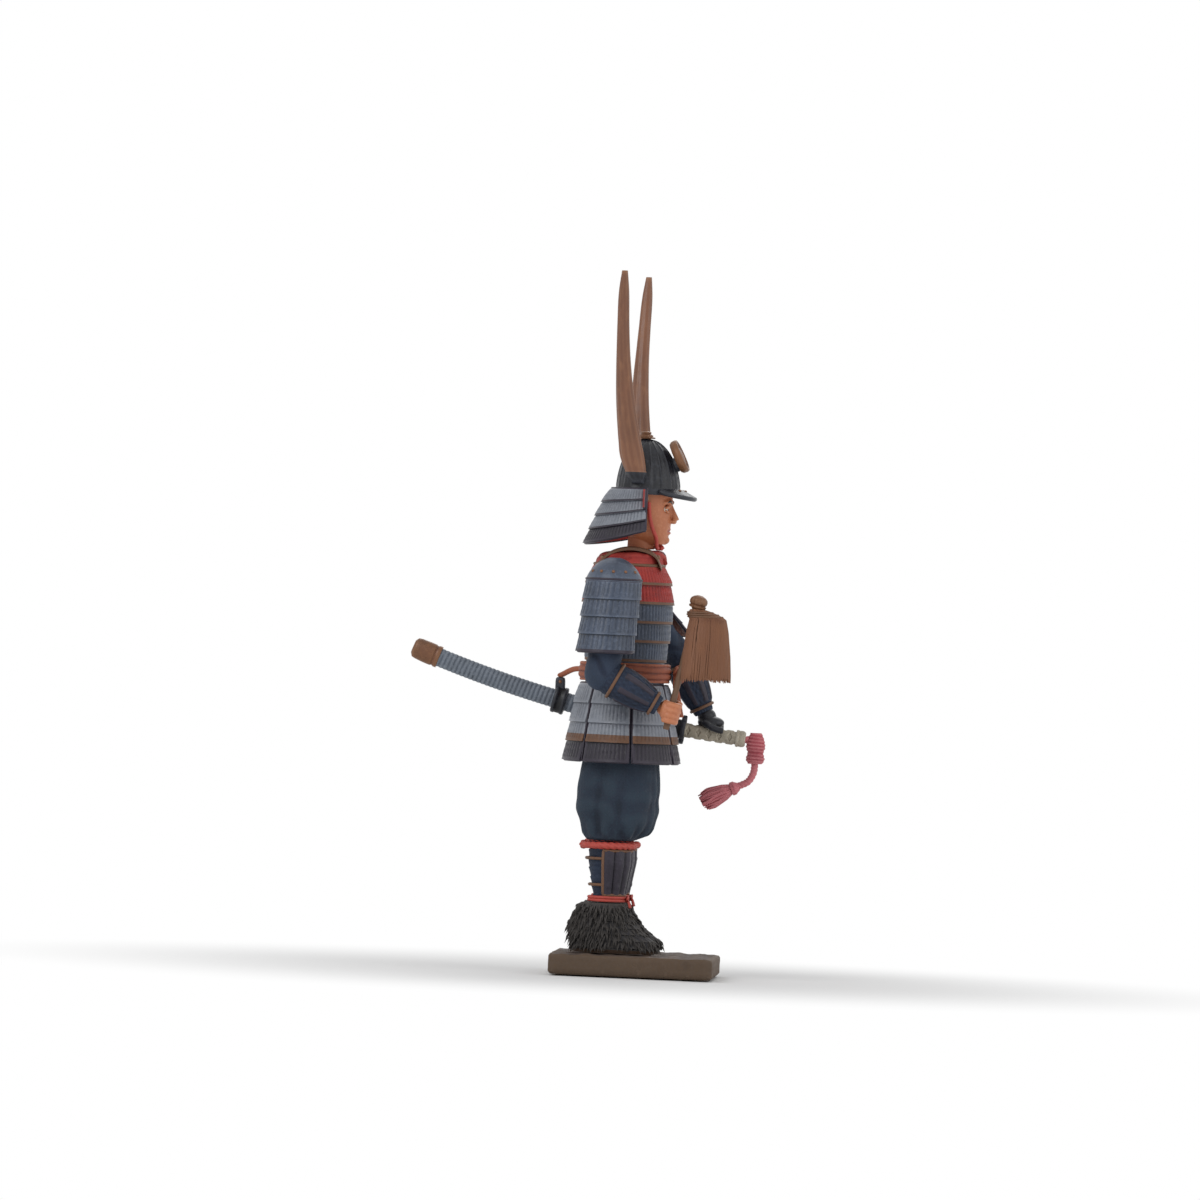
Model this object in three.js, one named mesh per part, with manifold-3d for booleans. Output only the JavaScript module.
// Samurai figure: a painted plastic warrior on a slab base, of separate moulded pieces that plug together.
// Millimetres. +X is the way the figure faces, +Y is its left, +Z is up.
// The origin is the middle of the base's underside.
import * as THREE from "three";
import { mergeVertices } from "three/addons/utils/BufferGeometryUtils.js";
import Module from "manifold-3d";

const wasm = await Module();
wasm.setup();

// Fits
const SEAT_GAP = 0.15; // between pieces that seat on each other
const PEG_CLEARANCE = 0.1; // round a peg and past its end

// Base
const BASE_LENGTH = 20;
const BASE_WIDTH = 24;
const BASE_THICKNESS = 2.5;
const BASE_CORNER = 1;
const BASE_EDGE = 0.3;
const BASE_FLOOR = 0.8; // left under the boot sockets
const FIGURE_SET_BACK = 2.7; // the figure's axis behind the middle of the base

// Boots and shins
const STANCE = 4.5; // each leg's axis from the middle
const LEG_AHEAD = -0.8; // and ahead of the figure's axis
const TOE_OUT = 9; // degrees
const BOOT_HEEL = 4; // behind the leg's axis
const BOOT_TOE = 6.4; // ahead of it
const BOOT_WIDTH = 5;
const BOOT_TOE_HEIGHT = 2.2;
const BOOT_HEIGHT = 6.2;
const BOOT_PEG_RADIUS = 1.2;
const ANKLE_RADIUS = 1.7;
const CALF_RADIUS = 2.4;
const SHIN_LENGTH = 7.6; // boot top to trouser hem
const SHIN_PEG_RADIUS = 1.1;
const SHIN_PEG_LENGTH = 1.6;
const TIE_THICKNESS = 0.7;
const KNEE_BAND_THICKNESS = 0.9;
const SHIN_GUARD_THICKNESS = 0.5;
const SHIN_GUARD_WRAP = 200; // degrees

// Trousers
const TROUSER_LENGTH = 19;
const TROUSER_DEPTH = 9.6; // one leg, front to back
const TROUSER_LEG_WIDTH = 7.8;
const HEM_DIAMETER = 5.8;
const FOLD_DEPTH = 0.16;
const FOLD_COUNT = 6;
const WAIST_POST_RADIUS = 2.4;
const WAIST_POST_LENGTH = 2.4;

// Cuirass, yoke and sash
const WAIST_DEPTH = 9.6;
const WAIST_WIDTH = 11.8;
const CHEST_DEPTH = 11;
const CHEST_WIDTH = 13.4;
const COLLAR_DEPTH = 8.6; // the cuirass at its top
const COLLAR_WIDTH = 12.2;
const CUIRASS_HEIGHT = 14.6;
const CUIRASS_LAMES = 5;
const LAME_STEP = 0.22; // each lame's lower edge stands this far proud
const LAME_SLOPE = 0.94; // share of a lame's height that slopes back
const CUIRASS_POWER = 2.2; // above 2 squares its rings off
const SASH_HEIGHT = 2.3;
const SASH_THICKNESS = 0.8;
const SASH_RISE = 0.2; // above the cuirass's lower edge
const KNOT_DEPTH = 1.5;
const KNOT_WIDTH = 3.6;
const SASH_TAIL_LENGTH = 5.2;
const SASH_TAIL_WIDTH = 1.3;
const SASH_TAIL_THICKNESS = 0.5;
const SASH_TAIL_SPREAD = 1.44; // foot of each tail from the middle
const SASH_TAIL_ROOT = 0.72; // and its root
const YOKE_HEIGHT = 1.7;
const YOKE_INSET = 0.1; // inside the cuirass's top edge
const COLLAR_EASE = 0.6; // round the neck

// Tassets
const TASSET_COUNT = 7;
const TASSET_LENGTH = 9.4;
const TASSET_THICKNESS = 0.5;
const TASSET_LAMES = 4;
const TASSET_GAP = 4; // degrees between neighbours
const SKIRT_FLARE = 1.8; // the tassets' lower edge stands this far off the trousers, front and back
const SKIRT_EASE = 0.6; // and this far at the sides
const SKIRT_BELL = 0.75; // below 1 the tassets spread sooner

// Sword
const SWORD_CURVE = 150; // radius of its bend
const SWORD_SLOPE = 8; // degrees it drops forward at the guard
const SWORD_GUARD_AHEAD = 6.9; // guard ahead of the figure's axis
const SWORD_GUARD_DROP = 5.3; // and below the waist
const SWORD_STAND_OFF = 0.5; // clear of the tassets
const SCABBARD_LENGTH = 31;
const SCABBARD_HEIGHT = 2.3;
const SCABBARD_THICKNESS = 1.5;
const SCABBARD_TIP_LENGTH = 3.2;
const FITTING_LIP = 0.2; // fittings stand this far proud
const HANGER_WIDTH = 1.6;
const HANGER_WALL = 0.4;
const HANGER_LUG = 1.1;
const FRONT_HANGER_BACK = 4.4; // behind the guard
const REAR_HANGER_BACK = 15.6;
const HANGER_CORD_RADIUS = 0.35;
const HANGER_CORD_BOW = 0.5; // the cords' middle above a straight line
const FRONT_CORD_ANGLE = 80; // degrees round the sash from straight ahead
const REAR_CORD_ANGLE = 140;
const GUARD_HEIGHT = 3.6;
const GUARD_THICKNESS = 0.6;
const HILT_LENGTH = 6.3;
const HILT_HEIGHT = 1.7;
const HILT_THICKNESS = 1.2;
const HILT_CAP_LENGTH = 0.9;
const TASSEL_KNOT_WIDTH = 2.3;
const TASSEL_KNOT_HEIGHT = 3.8;
const TASSEL_CORD_RADIUS = 0.45;
const TASSEL_LENGTH = 5;
const TASSEL_RADIUS = 1.3;

// Arms
const SHOULDER_BACK = 1.3; // shoulder pegs behind the figure's axis
const SHOULDER_DROP = 2.1; // below the cuirass's top
const SHOULDER_STAND_OFF = 0.5; // socket faces beyond the chest
const SHOULDER_BOSS_RADIUS = 1.9;
const SHOULDER_PEG_RADIUS = 1.2;
const SHOULDER_PEG_LENGTH = 2.4;
const SLEEVE_RADIUS = 2.2;
const ELBOW_RADIUS = 2.1;
const WRIST_RADIUS = 1.2;
const ELBOW_DROP = 11.2; // right elbow below its shoulder
const ELBOW_BACK = 0.9; // and behind it
const ELBOW_SPREAD = 1.3; // elbows out from the shoulders
const LEFT_ELBOW_AHEAD = 7; // left elbow ahead of its shoulder
const LEFT_ELBOW_DROP = 8.2;
const FOREARM_REACH = 8.4; // right fist ahead of its elbow
const FIST_DROP = 4.4; // and below it
const FIST_RADIUS = 1.45;
const FIST_WIDTH = 2.6;
const FIST_INWARD = 0.5; // right fist in from its elbow
const LEFT_GRIP = 3; // left hand's middle ahead of the sword guard
const LEFT_PALM_LENGTH = 3.8;
const LEFT_PALM_WALL = 1; // beyond the hilt on each side
const LEFT_PALM_HEIGHT = 3.5;
const LEFT_PALM_RISE = 0.9; // its middle above the hilt's
const LEFT_WRIST_BACK = 0.9; // left wrist behind the grip
const LEFT_WRIST_OUT = 0.7;
const LEFT_HAND_RISE = 2.6; // left wrist above the hilt
const LEFT_HAND_HANG = 0.9; // its fingers down past the hilt's top
const SODE_EASE = 0.8; // shoulder guards off the sleeves
const SODE_THICKNESS = 0.5;
const SODE_LENGTH = 8.6; // below the shoulder peg on the hanging right arm
const SODE_WRAP = 160; // degrees round the sleeve
const SODE_LAMES = 4;
const SODE_STRAIGHT = 0.72; // share of its height below the shoulder's curve
const SODE_CLOSE = 78; // degrees it curves in over the shoulder
const SODE_TOP_EASE = 0.25; // off the sleeve at its top

// Baton
const BATON_LEAN = 12; // degrees forward
const BATON_RADIUS = 0.4;
const BATON_BELOW = 2.1; // stick below the fist's middle
const BATON_ABOVE = 12.9;
const BATON_CAP_RADIUS = 1.1;
const BATON_CAP_LENGTH = 1.6;
const BATON_TASSEL_LENGTH = 8.8;
const BATON_TASSEL_DEPTH = 6.3; // front to back at its foot
const BATON_TASSEL_WIDTH = 3.6;
const BATON_TASSEL_AHEAD = 1.4; // its foot ahead of the stick's top

// Head and helmet
const HEAD_TURN = 4; // degrees to its right
const NECK_AHEAD = 1.3;
const NECK_RADIUS = 1.7;
const NECK_PEG_RADIUS = 1.2;
const NECK_PEG_LENGTH = 2.6; // below the yoke
const CHIN_RISE = 0.8; // above the yoke
const FACE_HEIGHT = 6; // chin to helmet rim
const FACE_POWER = 2.2; // above 2 squares its rings off
const NOSE_LENGTH = 0.8;
const HEAD_EASE = 0.3; // inside the bowl
const BOWL_LENGTH = 9; // twice its front half
const BOWL_BACK = 0.76; // its back half as a share of the front
const BOWL_WIDTH = 8.4;
const BOWL_HEIGHT = 6.9;
const BOWL_THICKNESS = 0.5;
const KNOB_RADIUS = 0.9;
const KNOB_HEIGHT = 0.7;
const VISOR_REACH = 1.3;
const VISOR_DROP = 0.7;
const VISOR_EDGE = 0.35; // its width at its two ends
const VISOR_LIFT = 0.25; // its root above the helmet's rim
const VISOR_THICKNESS = 0.65;
const VISOR_WRAP = 116; // degrees
const NECK_GUARD_WRAP = 200; // degrees
const NECK_GUARD_LAP = 0.6; // over the bowl's rim
const NECK_GUARD_DROP = 6.2; // below the rim, behind
const NECK_GUARD_RISE = 1.8; // its lower edge climbs this far towards its front ends
const NECK_GUARD_FLARE = 1.9;
const NECK_GUARD_TAIL = 1.1; // it flares this much more behind
const NECK_GUARD_BELL = 0.8; // below 1 it spreads sooner
const NECK_GUARD_THICKNESS = 0.45;
const NECK_GUARD_LAMES = 4;
const TURNBACK_REACH = 1.9;
const TURNBACK_HEIGHT = 2.2;
const TURNBACK_THICKNESS = 0.45;
const TURNBACK_CURL = 0.25; // its free edge curls this far forward
const TURNBACK_SET_BACK = 4; // degrees behind the neck guard's front ends
const HORN_HEIGHT = 25.6; // root to tip
const HORN_SPREAD = 8.2; // tip out from the root
const HORN_DEPTH = 2.9; // front to back near the root
const HORN_THICKNESS = 1.7;
const HORN_RISE = 0.7; // root above the neck guard's upper edge
const CREST_RADIUS = 2.1;
const CREST_THICKNESS = 1;
const CREST_TILT = 26; // degrees leaning back
const CREST_RISE = 4.8; // its middle above the helmet rim
const CREST_STAND_OFF = 1; // its middle ahead of the bowl
const CREST_STEM_RADIUS = 0.6;
const CREST_STEM_REACH = 2; // behind the disc, beyond its stand-off, before the bowl cuts it
const CHIN_CORD_RADIUS = 0.25;

// Mesh fineness
const RING_POINTS = 18;
const CORD_SIDES = 8;
const PEG_SIDES = 16;

// Heights above the sole
const hemZ = BOOT_HEIGHT + SHIN_LENGTH;
const waistZ = hemZ + TROUSER_LENGTH;
const cuirassTopZ = waistZ + CUIRASS_HEIGHT;
const yokeTopZ = cuirassTopZ + SEAT_GAP + YOKE_HEIGHT;
const shoulderZ = cuirassTopZ - SHOULDER_DROP;
const skirtTopZ = waistZ;
const skirtFootZ = skirtTopZ - TASSET_LENGTH;

const TURN = 2 * Math.PI;
const radians = THREE.MathUtils.degToRad;
const { lerp, clamp } = THREE.MathUtils;
const at = (x, y, z) => new THREE.Vector3(x, y, z);
const steps = (count) => Array.from({ length: count + 1 }, (_, i) => i / count);

// Colours of the moulded plastic
const paint = (color, roughness = 0.6) => new THREE.MeshStandardMaterial({ color, roughness, metalness: 0 });
const DARK_BROWN = paint("#3f3029");
const FUR = paint("#2b2a2c", 0.9);
const RED = paint("#a3231f");
const NAVY = paint("#262f45");
const SLATE = paint("#4a5364");
const BLACK = paint("#202127");
const RUST = paint("#7c3a26");
const SKIN = paint("#c4764c");
const HORN_BROWN = paint("#77492d", 0.45);
const BONE = paint("#a39a88");

// A value that follows [place, value] pairs by straight lines.
function follow(pairs, place) {
  const last = pairs.findIndex(([key]) => key >= place);
  if (last === 0) return pairs[0][1];
  if (last < 0) return pairs[pairs.length - 1][1];
  const [[from, low], [to, high]] = [pairs[last - 1], pairs[last]];
  return lerp(low, high, (place - from) / (to - from));
}

// A geometry from points and triangles.
function geometryFrom(points, faces) {
  const geometry = new THREE.BufferGeometry();
  const places = points.flatMap((p) => [p.x, p.y, p.z]);
  geometry.setAttribute("position", new THREE.Float32BufferAttribute(places, 3));
  geometry.setIndex(faces);
  return geometry;
}

// Where an oval passes at an angle; a power above 2 squares it off.
function ovalPoint(angle, halfLength, halfWidth, power) {
  const bend = (value) => Math.sign(value) * Math.abs(value) ** (2 / power);
  return [halfLength * bend(Math.cos(angle)), halfWidth * bend(Math.sin(angle))];
}

// A level ring round (x, y) at height z.
function oval(x, y, z, halfLength, halfWidth, count = RING_POINTS, power = 2) {
  return Array.from({ length: count }, (_, i) => {
    const [ahead, aside] = ovalPoint((TURN * i) / count, halfLength, halfWidth, power);
    return at(x + ahead, y + aside, z);
  });
}

// A closed solid through rings of points, with a flat end at the first and the last ring.
function skin(rings) {
  const count = rings[0].length;
  const points = rings.flat();
  const faces = [];
  const middle = (ring) => ring.reduce((sum, p) => sum.add(p), at(0, 0, 0)).divideScalar(count);
  for (let i = 0; i < count; i++) {
    const j = (i + 1) % count;
    for (let low = 0; low + count < points.length; low += count) {
      const high = low + count;
      faces.push(low + i, low + j, high + j, low + i, high + j, high + i);
    }
    const top = points.length - count;
    faces.push(points.length, j, i, points.length + 1, top + i, top + j);
  }
  return geometryFrom([...points, middle(rings[0]), middle(rings[rings.length - 1])], faces);
}

// A curved plate between an outer and an inner face. Columns run anticlockwise, rows run upward.
function plate(columns, rows, outer, inner, closed = false) {
  const points = [];
  const faces = [];
  const quad = (a, b, c, d) => faces.push(a, b, c, a, c, d);
  const across = closed ? columns.slice(0, -1) : columns;
  for (const u of across) {
    for (const v of rows) points.push(outer(u, v), inner(u, v));
  }
  const out = (i, k) => ((i % across.length) * rows.length + k) * 2;
  const into = (i, k) => out(i, k) + 1;
  const top = rows.length - 1;
  for (let i = 0; i + 1 < columns.length; i++) {
    for (let k = 0; k < top; k++) {
      quad(out(i, k), out(i + 1, k), out(i + 1, k + 1), out(i, k + 1));
      quad(into(i, k), into(i, k + 1), into(i + 1, k + 1), into(i + 1, k));
    }
    quad(out(i, 0), into(i, 0), into(i + 1, 0), out(i + 1, 0));
    quad(out(i, top), out(i + 1, top), into(i + 1, top), into(i, top));
  }
  if (!closed) {
    const end = columns.length - 1;
    for (let k = 0; k < top; k++) {
      quad(out(0, k), out(0, k + 1), into(0, k + 1), into(0, k));
      quad(out(end, k), into(end, k), into(end, k + 1), out(end, k + 1));
    }
  }
  return geometryFrom(points, faces);
}

// A round bar along a curve; radius may change along it.
function tube(points, radiusAt, count, sides = CORD_SIDES) {
  const curve = new THREE.CatmullRomCurve3(points);
  const frames = curve.computeFrenetFrames(count, false);
  return skin(steps(count).map((t, i) => {
    const centre = curve.getPointAt(t);
    return Array.from({ length: sides }, (_, k) => {
      const angle = (TURN * k) / sides;
      const spoke = frames.normals[i].clone().multiplyScalar(Math.cos(angle));
      spoke.addScaledVector(frames.binormals[i], Math.sin(angle));
      return spoke.multiplyScalar(radiusAt(t)).add(centre);
    });
  }));
}

// A round peg along Z (or along Y when lying), centred at its middle.
const lyingPeg = (radius, length) => new THREE.CylinderGeometry(radius, radius, length, PEG_SIDES);
const peg = (radius, length) => lyingPeg(radius, length).rotateX(Math.PI / 2);

// An upright ball squashed to three radii.
function ball(x, y, z, radiusX, radiusY, radiusZ, count = 12) {
  const rings = steps(7).slice(1, -1).map((t) => {
    const up = -Math.cos(Math.PI * t);
    const out = Math.sin(Math.PI * t);
    return oval(x, y, z + radiusZ * up, radiusX * out, radiusY * out, count);
  });
  return skin(rings);
}

// Joining and cutting closed solids.
function solid(geometry) {
  const bare = geometry.clone();
  bare.deleteAttribute("normal");
  bare.deleteAttribute("uv");
  const merged = mergeVertices(bare, 1e-4);
  const vertProperties = merged.attributes.position.array;
  const triVerts = new Uint32Array(merged.index.array);
  return new wasm.Manifold(new wasm.Mesh({ numProp: 3, vertProperties, triVerts }));
}

function unsolid(manifold) {
  const mesh = manifold.getMesh();
  const geometry = new THREE.BufferGeometry();
  geometry.setAttribute("position", new THREE.BufferAttribute(new Float32Array(mesh.vertProperties), 3));
  geometry.setIndex(new THREE.BufferAttribute(new Uint32Array(mesh.triVerts), 1));
  return geometry;
}

const join = (...pieces) => unsolid(pieces.map(solid).reduce((sum, piece) => sum.add(piece)));
const cut = (piece, ...tools) => (
  unsolid(tools.map(solid).reduce((left, tool) => left.subtract(tool), solid(piece))));

function add(group, name, geometry, material) {
  const shown = geometry.clone();
  shown.computeVertexNormals();
  const mesh = new THREE.Mesh(shown, material);
  mesh.name = name;
  group.add(mesh);
}

// Rows of a plate made of overlapping lames: each lame stands proud at its lower edge.
function lameRows(lames) {
  const rows = [];
  for (let lame = 0; lame < lames; lame++) rows.push(lame / lames, (lame + LAME_SLOPE) / lames);
  return [...rows, 1];
}

function lameStep(lames, v) {
  const lame = Math.min(Math.floor(v * lames + 1e-6), lames - 1);
  return LAME_STEP * (1 - clamp((v * lames - lame) / LAME_SLOPE, 0, 1));
}

// Base: a chamfered slab with two round sockets.
const bootPegLength = BASE_THICKNESS - BASE_FLOOR;

function basePlate() {
  const x = BASE_LENGTH / 2;
  const y = BASE_WIDTH / 2;
  const outline = new THREE.Shape();
  outline.moveTo(-x + BASE_CORNER, -y).lineTo(x - BASE_CORNER, -y);
  outline.absarc(x - BASE_CORNER, -y + BASE_CORNER, BASE_CORNER, -Math.PI / 2, 0);
  outline.absarc(x - BASE_CORNER, y - BASE_CORNER, BASE_CORNER, 0, Math.PI / 2);
  outline.absarc(-x + BASE_CORNER, y - BASE_CORNER, BASE_CORNER, Math.PI / 2, Math.PI);
  outline.absarc(-x + BASE_CORNER, -y + BASE_CORNER, BASE_CORNER, Math.PI, 1.5 * Math.PI);
  const slab = new THREE.ExtrudeGeometry(outline, {
    depth: BASE_THICKNESS - 2 * BASE_EDGE,
    bevelThickness: BASE_EDGE,
    bevelSize: BASE_EDGE,
    bevelOffset: -BASE_EDGE,
    bevelSegments: 1,
    curveSegments: 3,
  }).translate(0, 0, BASE_EDGE);
  const depth = bootPegLength + PEG_CLEARANCE;
  const sockets = [-1, 1].map((side) => peg(BOOT_PEG_RADIUS + PEG_CLEARANCE, 2 * depth)
    .translate(LEG_AHEAD - FIGURE_SET_BACK, side * STANCE, BASE_THICKNESS));
  return cut(slab, ...sockets);
}

// Boots: fur shoes with a low toe, a peg below and a socket for the shin above.
function boot(side) {
  const wide = BOOT_WIDTH / 2;
  const rise = BOOT_HEIGHT - BOOT_TOE_HEIGHT;
  const top = ANKLE_RADIUS + TIE_THICKNESS;
  const ring = (z, back, ahead, half, power) => (
    oval((ahead - back) / 2, 0, z, (ahead + back) / 2, half, RING_POINTS, power));
  const rings = [
    ring(SEAT_GAP, BOOT_HEEL - 0.3, BOOT_TOE - 0.3, wide - 0.3, 2.6),
    ring(BOOT_TOE_HEIGHT * 0.3, BOOT_HEEL, BOOT_TOE, wide, 2.6),
    ring(BOOT_TOE_HEIGHT * 0.75, BOOT_HEEL + 0.1, BOOT_TOE - 0.1, wide, 2.5),
    ring(BOOT_TOE_HEIGHT + rise * 0.08, BOOT_HEEL + 0.4, BOOT_TOE * 0.78, wide * 0.97, 2.3),
    ring(BOOT_TOE_HEIGHT + rise * 0.4, BOOT_HEEL + 0.4, BOOT_TOE * 0.58, wide * 0.95, 2.1),
    ring(BOOT_TOE_HEIGHT + rise * 0.75, BOOT_HEEL * 0.95, BOOT_TOE * 0.45, wide * 0.95, 2),
    ring(BOOT_HEIGHT, BOOT_HEEL * 0.8, top, top, 2),
  ];
  const foot = peg(BOOT_PEG_RADIUS, bootPegLength + 1).translate(0, 0, (1 - bootPegLength) / 2);
  const socket = peg(SHIN_PEG_RADIUS + PEG_CLEARANCE, 2 * (SHIN_PEG_LENGTH + PEG_CLEARANCE));
  const whole = cut(join(skin(rings), foot), socket.translate(0, 0, BOOT_HEIGHT));
  return whole.rotateZ(side * radians(TOE_OUT)).translate(LEG_AHEAD, side * STANCE, 0);
}

// Shins: a round leg between two pegs; bands and guards take their place from its radius.
const ankleZ = BOOT_HEIGHT + SEAT_GAP;
const shinTopZ = hemZ - SEAT_GAP;
const shinGuardFootZ = ankleZ + TIE_THICKNESS + SEAT_GAP;
const shinGuardTopZ = shinTopZ - KNEE_BAND_THICKNESS - SEAT_GAP;
const shinRadius = (z) => follow([
  [shinGuardFootZ, ANKLE_RADIUS],
  [lerp(shinGuardFootZ, shinGuardTopZ, 0.7), CALF_RADIUS],
  [shinGuardTopZ, CALF_RADIUS],
], z);

function shin(side) {
  const heights = [ankleZ, shinGuardFootZ, lerp(shinGuardFootZ, shinGuardTopZ, 0.7), shinGuardTopZ, shinTopZ];
  const leg = skin(heights.map((z) => oval(0, 0, z, shinRadius(z), shinRadius(z), 16)));
  const bar = peg(SHIN_PEG_RADIUS, shinTopZ - ankleZ + 2 * SHIN_PEG_LENGTH);
  return join(leg, bar.translate(0, 0, (ankleZ + shinTopZ) / 2)).translate(LEG_AHEAD, side * STANCE, 0);
}

function legRing(side, radius, thickness, z) {
  const half = thickness / 2;
  const round = new THREE.TorusGeometry(radius + SEAT_GAP + half, half, 6, 16);
  return round.translate(LEG_AHEAD, side * STANCE, z);
}
const bootTieZ = ankleZ + TIE_THICKNESS / 2;
const kneeBandZ = shinTopZ - KNEE_BAND_THICKNESS / 2;
const bootTie = (side) => legRing(side, ANKLE_RADIUS, TIE_THICKNESS, bootTieZ);
const kneeBand = (side) => legRing(side, CALF_RADIUS, KNEE_BAND_THICKNESS, kneeBandZ);

function shinGuard(side) {
  const face = (extra) => (u, v) => {
    const angle = radians((u - 0.5) * SHIN_GUARD_WRAP);
    const z = lerp(shinGuardFootZ, shinGuardTopZ, v);
    const radius = shinRadius(z) + SEAT_GAP + extra;
    return at(LEG_AHEAD + radius * Math.cos(angle), side * STANCE + radius * Math.sin(angle), z);
  };
  return plate(steps(10), steps(4), face(SHIN_GUARD_THICKNESS), face(0));
}

// The skirt of tassets: half sizes at a share of the way down from the waist.
const skirtFootDepth = TROUSER_DEPTH / 2 + SKIRT_FLARE;
const skirtFootWidth = STANCE + TROUSER_LEG_WIDTH / 2 + SKIRT_EASE;
const skirtDepth = (t) => lerp(WAIST_DEPTH / 2 + SEAT_GAP, skirtFootDepth, t ** SKIRT_BELL);
const skirtWidth = (t) => lerp(WAIST_WIDTH / 2 + SEAT_GAP, skirtFootWidth, t ** SKIRT_BELL);
const skirtDown = (z) => clamp((skirtTopZ - z) / TASSET_LENGTH, 0, 1);

// A point round the skirt at an angle from straight ahead.
function skirtPoint(angle, t, extra) {
  const z = lerp(skirtTopZ, skirtFootZ, t);
  return at((skirtDepth(t) + extra) * Math.cos(angle), (skirtWidth(t) + extra) * Math.sin(angle), z);
}

function tasset(index) {
  const pitch = TURN / TASSET_COUNT;
  const half = (pitch - radians(TASSET_GAP)) / 2;
  const face = (extra, step) => (u, v) => {
    const angle = index * pitch + lerp(-half, half, u);
    return skirtPoint(angle, 1 - v, extra + step * lameStep(TASSET_LAMES, v));
  };
  return plate(steps(5), lameRows(TASSET_LAMES), face(TASSET_THICKNESS, 1), face(0, 0));
}

// Trousers: two full legs and the hips in one piece, a socket for each shin and a post for the cuirass.
function trouserLeg(side) {
  const hemWide = HEM_DIAMETER / TROUSER_LEG_WIDTH;
  const hemDeep = HEM_DIAMETER / TROUSER_DEPTH;
  const keys = [
    { t: 0, wide: hemWide, deep: hemDeep, ahead: LEG_AHEAD, fold: 0 },
    { t: 0.05, wide: 0.9, deep: 0.78, ahead: LEG_AHEAD * 0.4, fold: 1 },
    { t: 0.18, wide: 1, deep: 0.98, ahead: -0.3, fold: 1 },
    { t: 0.36, wide: 1, deep: 1, ahead: -0.2, fold: 1 },
    { t: 0.55, wide: 0.9, deep: 0.92, ahead: 0, fold: 0.6 },
    { t: 0.75, wide: 0.76, deep: 0.84, ahead: 0, fold: 0 },
    { t: 0.9, wide: 0.56, deep: 0.7, ahead: 0, fold: 0 },
  ];
  return skin(keys.map(({ t, wide, deep, ahead, fold }) => {
    const y = side * lerp(STANCE, STANCE * 0.7, t);
    const z = lerp(hemZ, waistZ, t);
    const points = oval(ahead, y, z, (deep * TROUSER_DEPTH) / 2, (wide * TROUSER_LEG_WIDTH) / 2, 24);
    return points.map((point, i) => {
      const wave = 1 - (FOLD_DEPTH * fold * (1 - Math.cos((TURN * FOLD_COUNT * i) / 24))) / 4;
      return at(lerp(ahead, point.x, wave), lerp(y, point.y, wave), z);
    });
  }));
}

function trousers() {
  const hips = [1, 0.7, 0.4, 0].map((t) => {
    const z = lerp(skirtTopZ - SEAT_GAP, skirtFootZ, t);
    const shrink = SEAT_GAP + SKIRT_EASE + (t > 0.9 ? SKIRT_FLARE : 0);
    return oval(0, 0, z, skirtDepth(t) - shrink, skirtWidth(t) - shrink, 24);
  });
  const post = peg(WAIST_POST_RADIUS, 2 * WAIST_POST_LENGTH).translate(0, 0, waistZ);
  const sockets = [-1, 1].map((side) => (
    peg(SHIN_PEG_RADIUS + PEG_CLEARANCE, 2 * (SHIN_PEG_LENGTH + PEG_CLEARANCE))
      .translate(LEG_AHEAD, side * STANCE, hemZ)));
  return cut(join(trouserLeg(-1), trouserLeg(1), skin(hips), post), ...sockets);
}

// Cuirass: a smooth waist under the sash, overlapping lames, a shoulder boss each side and a neck socket.
const cuirassFootZ = waistZ + SEAT_GAP;
const lamesFootZ = cuirassFootZ + SASH_RISE + SASH_HEIGHT + SASH_RISE;
const bossY = CHEST_WIDTH / 2 + SHOULDER_STAND_OFF;

function cuirassRing(z, step) {
  const t = clamp((z - lamesFootZ) / (cuirassTopZ - lamesFootZ), 0, 1);
  const depth = follow([[0, WAIST_DEPTH], [0.25, lerp(WAIST_DEPTH, CHEST_DEPTH, 0.6)], [0.6, CHEST_DEPTH],
    [0.85, lerp(CHEST_DEPTH, COLLAR_DEPTH, 0.35)], [1, COLLAR_DEPTH]], t);
  const width = follow([[0, WAIST_WIDTH], [0.3, lerp(WAIST_WIDTH, CHEST_WIDTH, 0.6)], [0.6, CHEST_WIDTH],
    [0.9, lerp(CHEST_WIDTH, COLLAR_WIDTH, 0.4)], [1, COLLAR_WIDTH]], t);
  return oval(0, 0, z, depth / 2 + step, width / 2 + step, 24, CUIRASS_POWER);
}

function cuirass() {
  const lames = lameRows(CUIRASS_LAMES).map((v) => (
    cuirassRing(lerp(lamesFootZ, cuirassTopZ, v), lameStep(CUIRASS_LAMES, v))));
  const shell = skin([cuirassRing(cuirassFootZ, 0), cuirassRing(lamesFootZ - 0.1, 0), ...lames]);
  const boss = lyingPeg(SHOULDER_BOSS_RADIUS, 2 * bossY).translate(-SHOULDER_BACK, 0, shoulderZ);
  const shoulderSockets = [-1, 1].map((side) => (
    lyingPeg(SHOULDER_PEG_RADIUS + PEG_CLEARANCE, 2 * (SHOULDER_PEG_LENGTH + PEG_CLEARANCE))
      .translate(-SHOULDER_BACK, side * (bossY + SEAT_GAP), shoulderZ)));
  const neckSocket = peg(NECK_PEG_RADIUS + PEG_CLEARANCE, 2 * (NECK_PEG_LENGTH + PEG_CLEARANCE));
  const postSocket = peg(WAIST_POST_RADIUS + PEG_CLEARANCE, 2 * (WAIST_POST_LENGTH + PEG_CLEARANCE));
  return cut(
    join(shell, boss),
    ...shoulderSockets,
    neckSocket.translate(NECK_AHEAD, 0, cuirassTopZ + SEAT_GAP),
    postSocket.translate(0, 0, waistZ),
  );
}

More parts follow.
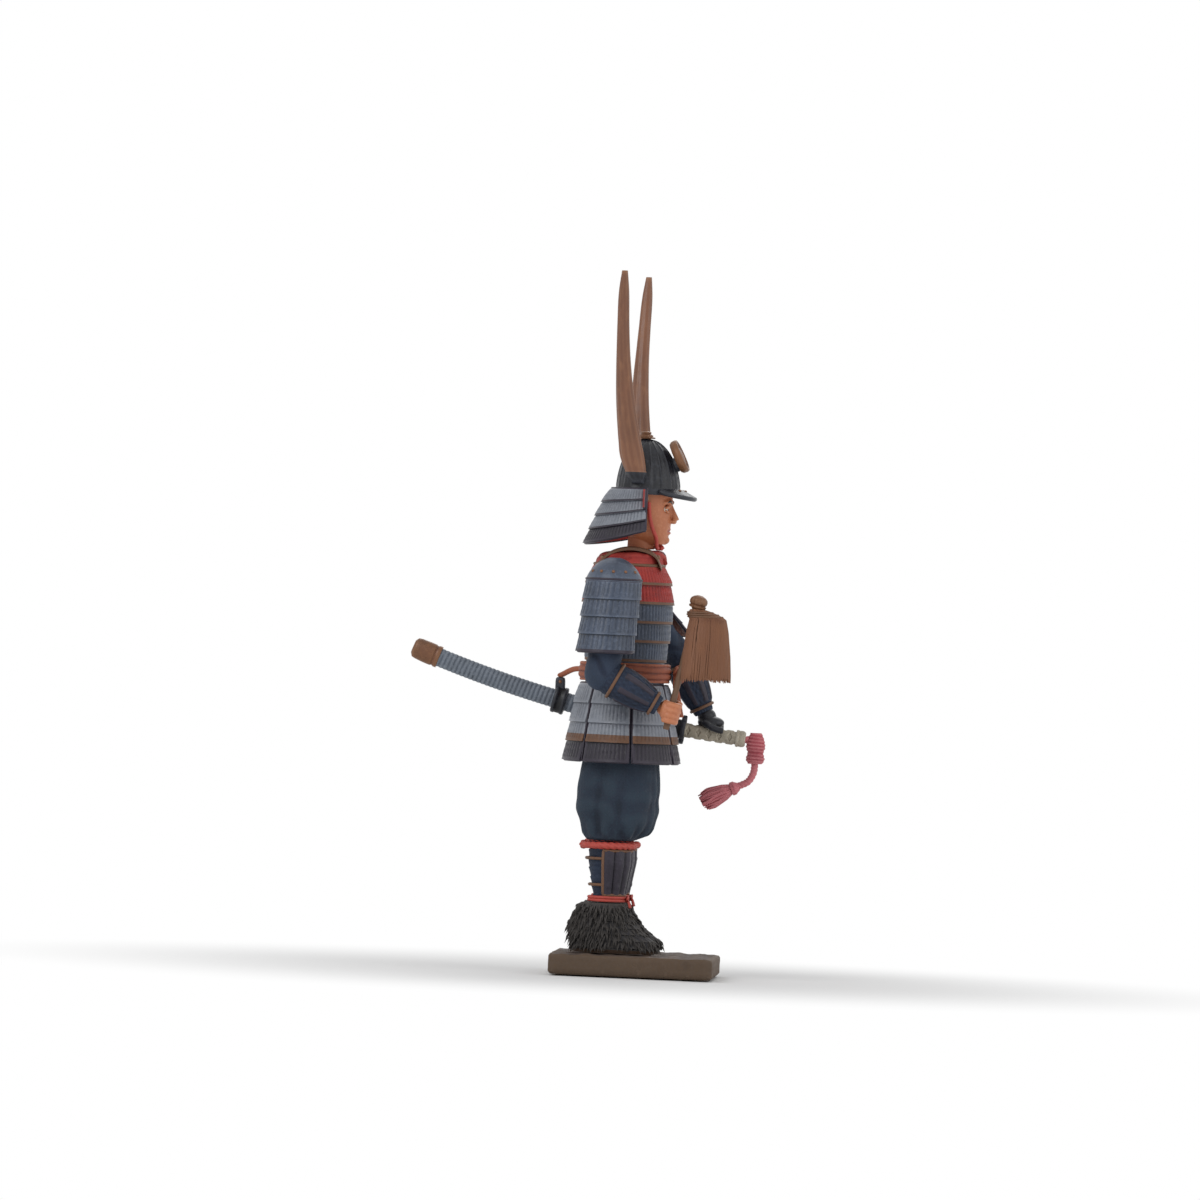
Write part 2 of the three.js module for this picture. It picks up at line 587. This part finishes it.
// Yoke: the red cloth over the shoulders, holed for the neck peg.
function yoke() {
  const rows = [[0, 1], [0.45, 0.9], [0.8, 0.62], [1, 0]];
  const rings = rows.map(([rise, out]) => {
    const z = cuirassTopZ + SEAT_GAP + YOKE_HEIGHT * rise;
    const deep = lerp(NECK_RADIUS + COLLAR_EASE, COLLAR_DEPTH / 2 - YOKE_INSET, out);
    const wide = lerp(NECK_RADIUS + COLLAR_EASE, COLLAR_WIDTH / 2 - YOKE_INSET, out);
    return oval(NECK_AHEAD * (1 - out), 0, z, deep, wide, 24);
  });
  const hole = peg(NECK_PEG_RADIUS + PEG_CLEARANCE, 4 * YOKE_HEIGHT).translate(NECK_AHEAD, 0, cuirassTopZ);
  return cut(skin(rings), hole);
}

// Sash: a band round the waist, with a knot and two tails in front.
const sashFootZ = cuirassFootZ + SASH_RISE;
const sashTopZ = sashFootZ + SASH_HEIGHT;
const sashOut = SEAT_GAP + SASH_THICKNESS;

function sash() {
  const face = (middle, edge) => (u, v) => {
    const swell = lerp(edge, middle, Math.sin(Math.PI * v));
    const ringOf = cuirassRing(lerp(sashFootZ, sashTopZ, v), SEAT_GAP + swell);
    return ringOf[Math.round(u * ringOf.length) % ringOf.length];
  };
  return plate(steps(24), steps(3), face(SASH_THICKNESS, SASH_THICKNESS * 0.7), face(0, 0), true);
}

function sashKnot() {
  const front = WAIST_DEPTH / 2 + sashOut + SEAT_GAP;
  const middleZ = (sashFootZ + sashTopZ) / 2;
  const bow = ball(front + KNOT_DEPTH / 2, 0, middleZ, KNOT_DEPTH / 2, KNOT_WIDTH / 2, SASH_HEIGHT * 0.55);
  const tails = [-1, 1].map((side) => {
    const face = (extra) => (u, v) => {
      const z = lerp(middleZ - SASH_TAIL_LENGTH, middleZ, v);
      const t = skirtDown(z);
      const flare = skirtDepth(t) + TASSET_THICKNESS + LAME_STEP + SEAT_GAP;
      const y = side * lerp(SASH_TAIL_SPREAD, SASH_TAIL_ROOT, v) + lerp(-0.5, 0.5, u) * SASH_TAIL_WIDTH;
      return at(Math.max(front, flare) + PEG_CLEARANCE + extra, y, z);
    };
    return plate(steps(2), steps(5), face(SASH_TAIL_THICKNESS), face(0));
  });
  return join(bow, ...tails);
}

// Sword: everything lies on one bend in an upright plane beside the left hip.
const swordY = skirtWidth(skirtDown(waistZ - SWORD_GUARD_DROP)) + TASSET_THICKNESS + LAME_STEP
  + SWORD_STAND_OFF + SCABBARD_THICKNESS / 2 + HANGER_WALL;
const swordSlope = (along) => radians(SWORD_SLOPE) - along / SWORD_CURVE;

// The sword's middle at a distance ahead of the guard.
function swordPoint(along) {
  const start = radians(SWORD_SLOPE);
  const slope = swordSlope(along);
  const x = SWORD_GUARD_AHEAD + SWORD_CURVE * (Math.sin(start) - Math.sin(slope));
  const z = waistZ - SWORD_GUARD_DROP - SWORD_CURVE * (Math.cos(slope) - Math.cos(start));
  return at(x, swordY, z);
}

const swordUp = (along) => at(Math.sin(swordSlope(along)), 0, Math.cos(swordSlope(along)));

// A bar along the bend through [distance, half height, half thickness] rows.
function swordBar(rows, count = 14) {
  return skin(rows.map(([along, high, wide]) => Array.from({ length: count }, (_, k) => {
    const angle = (TURN * k) / count;
    const point = swordPoint(along).addScaledVector(swordUp(along), high * Math.cos(angle));
    point.y -= wide * Math.sin(angle);
    return point;
  })));
}

const scabbardHigh = SCABBARD_HEIGHT / 2;
const scabbardWide = SCABBARD_THICKNESS / 2;
const scabbardFront = -(GUARD_THICKNESS / 2 + SEAT_GAP);
const scabbardBack = scabbardFront - SCABBARD_LENGTH;
const hiltBack = GUARD_THICKNESS / 2 + SEAT_GAP;
const hiltFront = hiltBack + HILT_LENGTH;
const capBack = hiltFront + SEAT_GAP;
const capFront = capBack + HILT_CAP_LENGTH;

const scabbard = () => swordBar(steps(8).map((t) => (
  [lerp(scabbardBack, scabbardFront, t), scabbardHigh, scabbardWide])));

function scabbardTip() {
  const front = scabbardBack - SEAT_GAP;
  const row = (share, size) => [front - share * SCABBARD_TIP_LENGTH, (scabbardHigh + FITTING_LIP) * size,
    (scabbardWide + FITTING_LIP) * size];
  return swordBar([row(1, 0.6), row(0.92, 0.92), row(0.5, 1), row(0, 1)]);
}

function hanger(back) {
  const loop = (grow, length) => swordBar([-0.5, 0.5].map((end) => (
    [-back + end * length, scabbardHigh + grow, scabbardWide + grow])));
  const lug = new THREE.BoxGeometry(HANGER_WIDTH * 0.75, SCABBARD_THICKNESS * 0.7, 2 * HANGER_LUG);
  const top = hangerTop(back);
  lug.translate(top.x, top.y, top.z - HANGER_LUG);
  return cut(join(loop(SEAT_GAP + HANGER_WALL, HANGER_WIDTH), lug), loop(SEAT_GAP, 3 * HANGER_WIDTH));
}

const hangerTop = (back) => swordPoint(-back)
  .addScaledVector(at(0, 0, 1), scabbardHigh + SEAT_GAP + HANGER_WALL + HANGER_LUG);

// A cord from a hanger's lug to the sash at an angle from straight ahead.
function hangerCord(back, degrees) {
  const angle = radians(degrees);
  const off = sashOut + SEAT_GAP + HANGER_CORD_RADIUS;
  const middleZ = (sashFootZ + sashTopZ) / 2;
  const [x, y] = ovalPoint(angle, WAIST_DEPTH / 2 + off, WAIST_WIDTH / 2 + off, CUIRASS_POWER);
  const end = at(x, y, middleZ);
  const start = hangerTop(back).add(at(0, 0, SEAT_GAP + HANGER_CORD_RADIUS * 0.3));
  const bow = start.clone().lerp(end, 0.45).add(at(0, 0, HANGER_CORD_BOW));
  return tube([start, bow, end], () => HANGER_CORD_RADIUS, 6);
}

function swordGuard() {
  const high = GUARD_HEIGHT / 2;
  const wide = high * 0.8;
  const half = GUARD_THICKNESS / 2;
  return swordBar([[-half, high - 0.1, wide - 0.1], [-half + 0.15, high, wide], [half - 0.15, high, wide],
    [half, high - 0.1, wide - 0.1]], 18);
}

const hiltHigh = HILT_HEIGHT / 2;
const hiltWide = HILT_THICKNESS / 2;
const hiltBar = (grow) => swordBar(steps(3).map((t) => (
  [lerp(hiltBack, hiltFront, t), hiltHigh + grow, hiltWide + grow])));

function hiltCap() {
  const row = (share, size) => [lerp(capBack, capFront, share), (hiltHigh + FITTING_LIP) * size,
    (hiltWide + FITTING_LIP) * size];
  return swordBar([row(0, 1), row(0.6, 1), row(1, 0.8)]);
}

// The red tassel: a wound knot at the hilt's end, a cord that swings back and a full end.
const knotX = swordPoint(capFront).x + SEAT_GAP + TASSEL_KNOT_WIDTH / 2;
const knotTopZ = swordPoint(capFront).z + hiltHigh;
const knotFootZ = knotTopZ - TASSEL_KNOT_HEIGHT;

function tasselKnot() {
  const half = TASSEL_KNOT_WIDTH / 2;
  const rows = [[1, 0.75], [0.88, 0.98], [0.62, 0.86], [0.5, 1], [0.25, 0.92], [0, 0.6]];
  return skin(rows.map(([down, size]) => (
    oval(knotX, swordY, lerp(knotTopZ, knotFootZ, down), half * size, half * 0.8 * size, 16, 2.4))));
}

const tasselCordPath = () => {
  const start = at(knotX, swordY, knotFootZ - SEAT_GAP);
  return [start, start.clone().add(at(-0.15, 0, -1)), start.clone().add(at(-0.7, 0, -2)),
    start.clone().add(at(-1.7, 0, -2.7))];
};
const tasselCord = () => tube(tasselCordPath(), () => TASSEL_CORD_RADIUS, 8);

function tasselEnd() {
  const start = tasselCordPath()[3].add(at(-SEAT_GAP, 0, 0));
  const path = [0, 0.5, 1].map((t) => (
    start.clone().add(at(-0.9 * t, 0, -(0.34 + 0.1 * t) * t).multiplyScalar(TASSEL_LENGTH))));
  const size = [[0, 0.42], [0.12, 0.6], [0.2, 0.5], [0.4, 0.85], [0.75, 1], [1, 0.95]];
  return tube(path, (t) => TASSEL_RADIUS * follow(size, t), 10, 14);
}

// Arms: everything hangs from the shoulder peg's axis.
const armY = bossY + SEAT_GAP + SLEEVE_RADIUS;

// Where the arm's middle runs: from the shoulder down to the elbow.
const RIGHT = { side: -1, ahead: -ELBOW_BACK, drop: ELBOW_DROP };
const LEFT = { side: 1, ahead: LEFT_ELBOW_AHEAD, drop: LEFT_ELBOW_DROP };
const armPoint = (arm, down) => at(-SHOULDER_BACK + arm.ahead * Math.max(down, 0),
  arm.side * (armY + ELBOW_SPREAD * Math.max(down, 0)), shoulderZ - arm.drop * down);

function sleeve(arm, grow) {
  const crown = SLEEVE_RADIUS / arm.drop;
  const elbow = ELBOW_RADIUS / arm.drop;
  const rows = [
    [1 + 0.85 * elbow, 0.45 * ELBOW_RADIUS],
    [1 + 0.5 * elbow, 0.85 * ELBOW_RADIUS],
    [1, ELBOW_RADIUS],
    [0.5, lerp(SLEEVE_RADIUS, ELBOW_RADIUS, 0.4)],
    [0, SLEEVE_RADIUS],
    [-0.55 * crown, 0.85 * SLEEVE_RADIUS],
    [-0.88 * crown, 0.5 * SLEEVE_RADIUS],
  ];
  return skin(rows.map(([down, radius], i) => {
    const centre = armPoint(arm, down);
    const end = i === 0 ? -grow : i === rows.length - 1 ? grow : 0;
    return oval(centre.x, centre.y, centre.z + end, radius + grow, radius + grow, 16);
  }));
}

function upperArm(arm) {
  const inner = bossY + SEAT_GAP;
  const length = SHOULDER_PEG_LENGTH + SLEEVE_RADIUS;
  const disc = lyingPeg(SHOULDER_BOSS_RADIUS, SLEEVE_RADIUS);
  const pin = lyingPeg(SHOULDER_PEG_RADIUS, length);
  disc.translate(-SHOULDER_BACK, arm.side * (inner + SLEEVE_RADIUS / 2), shoulderZ);
  pin.translate(-SHOULDER_BACK, arm.side * (inner + SLEEVE_RADIUS - length / 2), shoulderZ);
  return join(sleeve(arm, 0), disc, pin);
}

// A straight forearm from inside the elbow to the wrist, hollowed to sit against the sleeve and the hand.
function forearm(arm, wrist, hand) {
  const elbow = armPoint(arm, 1);
  const size = [[0, 0.95], [0.3, 1.05], [0.7, 0.9], [1, WRIST_RADIUS / ELBOW_RADIUS]];
  const path = [0, 0.5, 1].map((t) => elbow.clone().lerp(wrist, t));
  return cut(tube(path, (t) => ELBOW_RADIUS * follow(size, t), 5, 12), sleeve(arm, SEAT_GAP), hand);
}

// The shoulder guard: lames round the outside of the sleeve, closing in over the shoulder.
function shoulderGuard(arm) {
  const foot = SODE_LENGTH / ELBOW_DROP;
  const rows = [...lameRows(SODE_LAMES).map((v) => v * SODE_STRAIGHT), 0.8, 0.88, 0.95, 1];
  const face = (extra) => (u, v) => {
    const bend = clamp((v - SODE_STRAIGHT) / (1 - SODE_STRAIGHT), 0, 1) * radians(SODE_CLOSE);
    const crown = (SLEEVE_RADIUS + SODE_TOP_EASE + extra) / arm.drop;
    const down = bend > 0 ? -crown * Math.sin(bend) : lerp(foot, 0, v / SODE_STRAIGHT);
    const step = bend === 0 && extra > 0 ? lameStep(SODE_LAMES, v / SODE_STRAIGHT) : 0;
    const ease = lerp(SODE_EASE, SODE_TOP_EASE, Math.sin(bend));
    const radius = (SLEEVE_RADIUS + ease + extra + step) * Math.cos(bend);
    const angle = arm.side * (Math.PI / 2) + radians((u - 0.5) * SODE_WRAP);
    const centre = armPoint(arm, down);
    return at(centre.x + radius * Math.cos(angle), centre.y + radius * Math.sin(angle), centre.z);
  };
  return plate(steps(7), rows, face(SODE_THICKNESS), face(0));
}

// Right hand: a fist round the baton, which leans forward.
const fistAt = armPoint(RIGHT, 1).add(at(FOREARM_REACH, -FIST_INWARD * RIGHT.side, -FIST_DROP));
const batonWay = at(Math.sin(radians(BATON_LEAN)), 0, Math.cos(radians(BATON_LEAN)));
const batonPoint = (along) => fistAt.clone().addScaledVector(batonWay, along);
const batonBar = (radius, from, to) => peg(radius, to - from).rotateY(radians(BATON_LEAN))
  .translate(...batonPoint((from + to) / 2).toArray());
const fistBall = (grow) => (
  ball(...fistAt.toArray(), FIST_RADIUS + grow, FIST_WIDTH / 2 + grow, FIST_RADIUS + grow));
const rightWrist = fistAt.clone().add(armPoint(RIGHT, 1).sub(fistAt).setLength(FIST_RADIUS + SEAT_GAP));

const rightHand = () => (
  cut(fistBall(0), batonBar(BATON_RADIUS + PEG_CLEARANCE, -2 * FIST_RADIUS, 2 * FIST_RADIUS)));
const batonStick = () => batonBar(BATON_RADIUS, -BATON_BELOW, BATON_ABOVE);

function batonCap() {
  const low = BATON_ABOVE + SEAT_GAP;
  return batonBar(BATON_CAP_RADIUS, low, low + BATON_CAP_LENGTH);
}

function batonTassel() {
  const top = batonPoint(BATON_ABOVE);
  const rows = [[1, 1, 1], [0.65, 0.94, 0.95], [0.3, 0.83, 0.88], [0.12, 0.72, 0.74], [0.05, 0.56, 0.6],
    [0, 0.26, 0.42]];
  const bell = skin(rows.map(([down, deep, wide]) => {
    const x = top.x + BATON_TASSEL_AHEAD * Math.min(1, down * 8);
    const z = top.z - BATON_TASSEL_LENGTH * down;
    return oval(x, top.y, z, (deep * BATON_TASSEL_DEPTH) / 2, (wide * BATON_TASSEL_WIDTH) / 2, 22, 2.3);
  }));
  const stickSpace = batonBar(BATON_RADIUS + SEAT_GAP, -BATON_BELOW, BATON_ABOVE + BATON_CAP_LENGTH);
  return cut(bell, stickSpace);
}

// Left hand: laid over the hilt from above, open below so that it lifts off.
const gripAt = swordPoint(hiltBack + LEFT_GRIP);
const leftWrist = gripAt.clone().add(at(-LEFT_WRIST_BACK, LEFT_WRIST_OUT, LEFT_HAND_RISE));
const palmAt = gripAt.clone().add(at(0, 0, LEFT_PALM_RISE));
const heelAt = leftWrist.clone().lerp(palmAt, 0.44);

function leftHandShape(grow) {
  const [long, wide, high] = [LEFT_PALM_LENGTH / 2, hiltWide + LEFT_PALM_WALL, LEFT_PALM_HEIGHT / 2];
  const palm = ball(...palmAt.toArray(), long + grow, wide + grow, high + grow);
  const heel = WRIST_RADIUS + grow;
  return join(palm, ball(...heelAt.toArray(), heel, heel, heel));
}

// A block below a height, wide enough to clear the hand.
function blockBelow(z, width) {
  const deep = 2 * LEFT_PALM_HEIGHT;
  const block = new THREE.BoxGeometry(3 * LEFT_PALM_LENGTH, width, deep);
  return block.translate(gripAt.x, gripAt.y, z - deep / 2);
}

function leftHand() {
  const channel = blockBelow(gripAt.z, HILT_THICKNESS + 2 * SEAT_GAP);
  const below = blockBelow(gripAt.z + hiltHigh - LEFT_HAND_HANG, 3 * LEFT_PALM_LENGTH);
  return cut(leftHandShape(0), channel, hiltBar(SEAT_GAP), below);
}

// Head: face and neck in one piece, the crown shaped to the bowl. Heights from the yoke's top.
const chinZ = CHIN_RISE;
const rimZ = CHIN_RISE + FACE_HEIGHT;
const headLong = BOWL_LENGTH / 2 - BOWL_THICKNESS - HEAD_EASE;
const headWide = BOWL_WIDTH / 2 - BOWL_THICKNESS - HEAD_EASE;

// Skull and bowl are shorter behind the ears.
const shortBack = (ring) => (
  ring.map((point) => (point.x < 0 ? at(point.x * BOWL_BACK, point.y, point.z) : point)));
const bowlLong = (angle) => (BOWL_LENGTH / 2) * (Math.cos(angle) < 0 ? BOWL_BACK : 1);

// The face at a share of its height: half sizes and the middle's place ahead of the neck.
const FACE_LONG = [[0, 0.36], [0.14, 0.7], [0.35, 0.9], [0.6, 0.98], [1, 1]];
const FACE_WIDE = [[0, 0.4], [0.14, 0.66], [0.35, 0.85], [0.6, 0.96], [1, 1]];
const FACE_AHEAD = [[0, 0.46], [0.14, 0.2], [0.35, 0.06], [0.6, 0], [1, 0]];
const faceLong = (up) => headLong * follow(FACE_LONG, up);
const faceWide = (up) => headWide * follow(FACE_WIDE, up);
const faceAhead = (up) => headLong * follow(FACE_AHEAD, up);

function head() {
  const faceRings = FACE_LONG.map(([up]) => (
    shortBack(oval(faceAhead(up), 0, lerp(chinZ, rimZ, up), faceLong(up), faceWide(up), 20, FACE_POWER))));
  const crown = [0.3, 0.6, 0.85].map((rise) => {
    const out = Math.sqrt(1 - rise * rise);
    const z = rimZ + (BOWL_HEIGHT - BOWL_THICKNESS - HEAD_EASE) * rise;
    return shortBack(oval(0, 0, z, headLong * out, headWide * out, 20, FACE_POWER));
  });
  const neck = peg(NECK_RADIUS, FACE_HEIGHT / 2 + chinZ - SEAT_GAP)
    .translate(0, 0, (FACE_HEIGHT / 2 + chinZ + SEAT_GAP) / 2);
  const pinLength = NECK_PEG_LENGTH + YOKE_HEIGHT + FACE_HEIGHT / 2;
  const pin = peg(NECK_PEG_RADIUS, pinLength).translate(0, 0, FACE_HEIGHT / 2 - pinLength / 2);
  const nose = new THREE.ConeGeometry(NOSE_LENGTH, FACE_HEIGHT * 0.34, 4).rotateX(Math.PI / 2)
    .translate(headLong * 0.94, 0, lerp(chinZ, rimZ, 0.58));
  return join(skin([...faceRings, ...crown]), neck, pin, nose);
}

// Bowl: a dome shell; grown and filled, it hollows the pieces that sit on it.
function dome(long, wide, high, filled) {
  const rows = [0, 0.25, 0.48, 0.68, 0.84, 0.94, 0.99];
  const wall = (rise, thickness) => {
    const out = Math.sqrt(1 - rise * rise);
    const z = rimZ + (high - thickness) * rise;
    return shortBack(oval(0, 0, z, (long - thickness) * out, (wide - thickness) * out, 20));
  };
  const outside = rows.map((rise) => wall(rise, 0));
  const inside = [...rows].reverse().map((rise) => wall(rise, BOWL_THICKNESS));
  return skin(filled ? outside : [...inside, ...outside]);
}
const bowl = () => dome(BOWL_LENGTH / 2, BOWL_WIDTH / 2, BOWL_HEIGHT, false);
const bowlSpace = () => (
  dome(BOWL_LENGTH / 2 + SEAT_GAP, BOWL_WIDTH / 2 + SEAT_GAP, BOWL_HEIGHT + SEAT_GAP, true));

function knob() {
  const foot = rimZ + BOWL_HEIGHT + SEAT_GAP;
  const rows = [[0, 1], [0.35, 1], [0.5, 0.7], [0.8, 0.75], [1, 0.5]];
  return skin(rows.map(([up, size]) => (
    oval(0, 0, foot + KNOB_HEIGHT * up, KNOB_RADIUS * size, KNOB_RADIUS * size, 14))));
}

function visor() {
  const root = SEAT_GAP;
  const face = (raise) => (u, v) => {
    const angle = radians((u - 0.5) * VISOR_WRAP);
    const reach = root + VISOR_EDGE + VISOR_REACH * Math.max(0, Math.cos((u - 0.5) * Math.PI)) ** 0.8;
    const out = lerp(reach, root, v);
    const z = rimZ + raise - VISOR_DROP * (out / (root + VISOR_REACH)) + VISOR_LIFT;
    return at((BOWL_LENGTH / 2 + out) * Math.cos(angle), (BOWL_WIDTH / 2 + out) * Math.sin(angle), z);
  };
  return plate(steps(10), steps(2), face(VISOR_THICKNESS), face(0));
}

// Neck guard: flared lames round the back and sides, lapping the rim.
const neckGuardTopZ = rimZ + NECK_GUARD_LAP;
// Lower edge of the neck guard, for a turn of 0 behind to 1 at its front ends.
const neckGuardFootZ = (turn) => rimZ - NECK_GUARD_DROP + NECK_GUARD_RISE * turn ** 2;
const neckGuardFlare = (angle) => NECK_GUARD_FLARE + NECK_GUARD_TAIL * Math.max(0, -Math.cos(angle)) ** 2;
const neckGuardOut = (v, angle) => SEAT_GAP + neckGuardFlare(angle) * (1 - v) ** NECK_GUARD_BELL;

function neckGuard() {
  const face = (extra) => (u, v) => {
    const angle = Math.PI + radians((u - 0.5) * NECK_GUARD_WRAP);
    const out = neckGuardOut(v, angle) + extra + (extra > 0 ? lameStep(NECK_GUARD_LAMES, v) : 0);
    const z = lerp(neckGuardFootZ(2 * u - 1), neckGuardTopZ, v);
    return at((bowlLong(angle) + out) * Math.cos(angle), (BOWL_WIDTH / 2 + out) * Math.sin(angle), z);
  };
  return plate(steps(16), lameRows(NECK_GUARD_LAMES), face(NECK_GUARD_THICKNESS), face(0));
}

// Turnbacks: ears at the neck guard's two front ends, standing out from it and facing forward.
function turnback(side) {
  const behind = NECK_GUARD_WRAP / 2 - TURNBACK_SET_BACK;
  const angle = Math.PI - radians(behind);
  const footZ = neckGuardFootZ(behind / (NECK_GUARD_WRAP / 2));
  const ahead = at(Math.sin(angle), -Math.cos(angle), 0);
  const face = (forward) => (u, v) => {
    const z = neckGuardTopZ - TURNBACK_HEIGHT * (1 - v);
    const share = 1 - (neckGuardTopZ - z) / (neckGuardTopZ - footZ);
    const root = neckGuardOut(share, angle) + NECK_GUARD_THICKNESS + LAME_STEP + SEAT_GAP;
    const out = root + TURNBACK_REACH * u * (0.7 + 0.3 * Math.sin(Math.PI * v));
    const point = at((BOWL_LENGTH / 2 + out) * Math.cos(angle), (BOWL_WIDTH / 2 + out) * Math.sin(angle), z);
    return point.addScaledVector(ahead, forward + TURNBACK_CURL * u * u);
  };
  const ear = plate(steps(3), steps(4), face(TURNBACK_THICKNESS), face(0));
  return side > 0 ? ear : unsolid(solid(ear).mirror([0, 1, 0]));
}

// Horns: tall side horns, flat against the bowl at the root, sweeping out and up.
function horn(side) {
  const rootZ = neckGuardTopZ + HORN_RISE;
  const rootY = BOWL_WIDTH / 2;
  const rows = [
    { up: 0, ahead: -0.2, out: 0, deep: 0.45, thick: 0.5 },
    { up: 0.05, ahead: -0.5, out: 0.03, deep: 0.8, thick: 0.85 },
    { up: 0.12, ahead: -0.95, out: 0.08, deep: 1, thick: 1 },
    { up: 0.2, ahead: -1.3, out: 0.15, deep: 0.95, thick: 1 },
    { up: 0.36, ahead: -1.75, out: 0.36, deep: 0.79, thick: 0.85 },
    { up: 0.55, ahead: -2, out: 0.6, deep: 0.62, thick: 0.72 },
    { up: 0.75, ahead: -2.05, out: 0.82, deep: 0.5, thick: 0.6 },
    { up: 0.92, ahead: -2, out: 0.96, deep: 0.4, thick: 0.48 },
    { up: 1, ahead: -1.95, out: 1, deep: 0.24, thick: 0.3 },
  ];
  const rings = rows.map(({ up, ahead, out, deep, thick }) => oval(ahead, side * (rootY + HORN_SPREAD * out),
    rootZ + HORN_HEIGHT * up, (HORN_DEPTH * deep) / 2, (HORN_THICKNESS * thick) / 2, 14));
  return cut(skin(rings), bowlSpace());
}

// Front crest: a plain disc leaning back, on a stem that meets the bowl.
function crest() {
  const rise = CREST_RISE / BOWL_HEIGHT;
  const x = (BOWL_LENGTH / 2) * Math.sqrt(1 - rise * rise) + CREST_STAND_OFF;
  const disc = skin([[-0.5, 0.9], [-0.2, 1], [0.2, 1], [0.5, 0.9]].map(([deep, size]) => (
    oval(0, 0, deep * CREST_THICKNESS, CREST_RADIUS * size, CREST_RADIUS * size, 24))));
  const length = CREST_STAND_OFF + CREST_STEM_REACH;
  const stem = peg(CREST_STEM_RADIUS, length).translate(CREST_RADIUS * 0.35, 0, -length / 2);
  const whole = join(disc, stem).rotateY(Math.PI / 2 - radians(CREST_TILT));
  return cut(whole.translate(x, 0, rimZ + CREST_RISE), bowlSpace());
}

// Chin cord: from the cheeks down round the jaw and under the chin, ahead of the neck.
function chinCord() {
  const off = SEAT_GAP + CHIN_CORD_RADIUS;
  const cheek = (up, degrees, sign) => {
    const [ahead, aside] = ovalPoint(radians(degrees), faceLong(up) + off, faceWide(up) + off, FACE_POWER);
    return at(faceAhead(up) + ahead, sign * aside, lerp(chinZ, rimZ, up));
  };
  const under = (aside) => at(NECK_RADIUS + off, aside, chinZ - off);
  const half = (sign) => [
    cheek(0.85, 76, sign),
    cheek(0.5, 73, sign),
    cheek(0.3, 70, sign),
    cheek(0.14, 66, sign),
    under(sign * (faceWide(0) + off / 2)),
  ];
  return tube([...half(1), under(0), ...half(-1).reverse()], () => CHIN_CORD_RADIUS, 22, 7);
}

// Assembly
const model = new THREE.Group();
add(model, "base_plate", basePlate(), DARK_BROWN);

const figure = new THREE.Group();
figure.position.set(-FIGURE_SET_BACK, 0, BASE_THICKNESS);
model.add(figure);

for (const [name, side] of [["right", -1], ["left", 1]]) {
  add(figure, `${name}_boot`, boot(side), FUR);
  add(figure, `${name}_boot_tie`, bootTie(side), RED);
  add(figure, `${name}_shin`, shin(side), NAVY);
  add(figure, `${name}_shin_guard`, shinGuard(side), SLATE);
  add(figure, `${name}_knee_band`, kneeBand(side), RED);
}
add(figure, "trousers", trousers(), NAVY);
add(figure, "cuirass", cuirass(), SLATE);
add(figure, "shoulder_yoke", yoke(), RED);
add(figure, "waist_sash", sash(), RUST);
add(figure, "sash_knot", sashKnot(), RUST);
const TASSETS = ["front", "front_left", "side_left", "back_left", "back_right", "side_right", "front_right"];
TASSETS.forEach((name, index) => add(figure, `tasset_${name}`, tasset(index), SLATE));

add(figure, "scabbard", scabbard(), SLATE);
add(figure, "scabbard_tip", scabbardTip(), RUST);
add(figure, "front_hanger", hanger(FRONT_HANGER_BACK), BLACK);
add(figure, "rear_hanger", hanger(REAR_HANGER_BACK), BLACK);
add(figure, "front_hanger_cord", hangerCord(FRONT_HANGER_BACK, FRONT_CORD_ANGLE), RUST);
add(figure, "rear_hanger_cord", hangerCord(REAR_HANGER_BACK, REAR_CORD_ANGLE), RUST);
add(figure, "sword_guard", swordGuard(), BLACK);
add(figure, "sword_hilt", hiltBar(0), BONE);
add(figure, "hilt_cap", hiltCap(), BONE);
add(figure, "tassel_knot", tasselKnot(), RED);
add(figure, "tassel_cord", tasselCord(), RED);
add(figure, "tassel_end", tasselEnd(), RED);

add(figure, "right_upper_arm", upperArm(RIGHT), RED);
add(figure, "right_forearm", forearm(RIGHT, rightWrist, fistBall(SEAT_GAP)), NAVY);
add(figure, "right_hand", rightHand(), SKIN);
add(figure, "right_shoulder_guard", shoulderGuard(RIGHT), SLATE);
add(figure, "baton_stick", batonStick(), DARK_BROWN);
add(figure, "baton_cap", batonCap(), HORN_BROWN);
add(figure, "baton_tassel", batonTassel(), HORN_BROWN);

add(figure, "left_upper_arm", upperArm(LEFT), RED);
add(figure, "left_forearm", forearm(LEFT, leftWrist, leftHandShape(SEAT_GAP)), NAVY);
add(figure, "left_hand", leftHand(), BLACK);
add(figure, "left_shoulder_guard", shoulderGuard(LEFT), SLATE);

const headGroup = new THREE.Group();
headGroup.position.set(NECK_AHEAD, 0, yokeTopZ);
headGroup.rotation.z = -radians(HEAD_TURN);
figure.add(headGroup);
add(headGroup, "head", head(), SKIN);
add(headGroup, "helmet_bowl", bowl(), BLACK);
add(headGroup, "helmet_knob", knob(), HORN_BROWN);
add(headGroup, "helmet_visor", visor(), BLACK);
add(headGroup, "neck_guard", neckGuard(), SLATE);
add(headGroup, "right_turnback", turnback(-1), SLATE);
add(headGroup, "left_turnback", turnback(1), SLATE);
add(headGroup, "right_horn", horn(-1), HORN_BROWN);
add(headGroup, "left_horn", horn(1), HORN_BROWN);
add(headGroup, "front_crest", crest(), HORN_BROWN);
add(headGroup, "chin_cord", chinCord(), RED);

export default model;
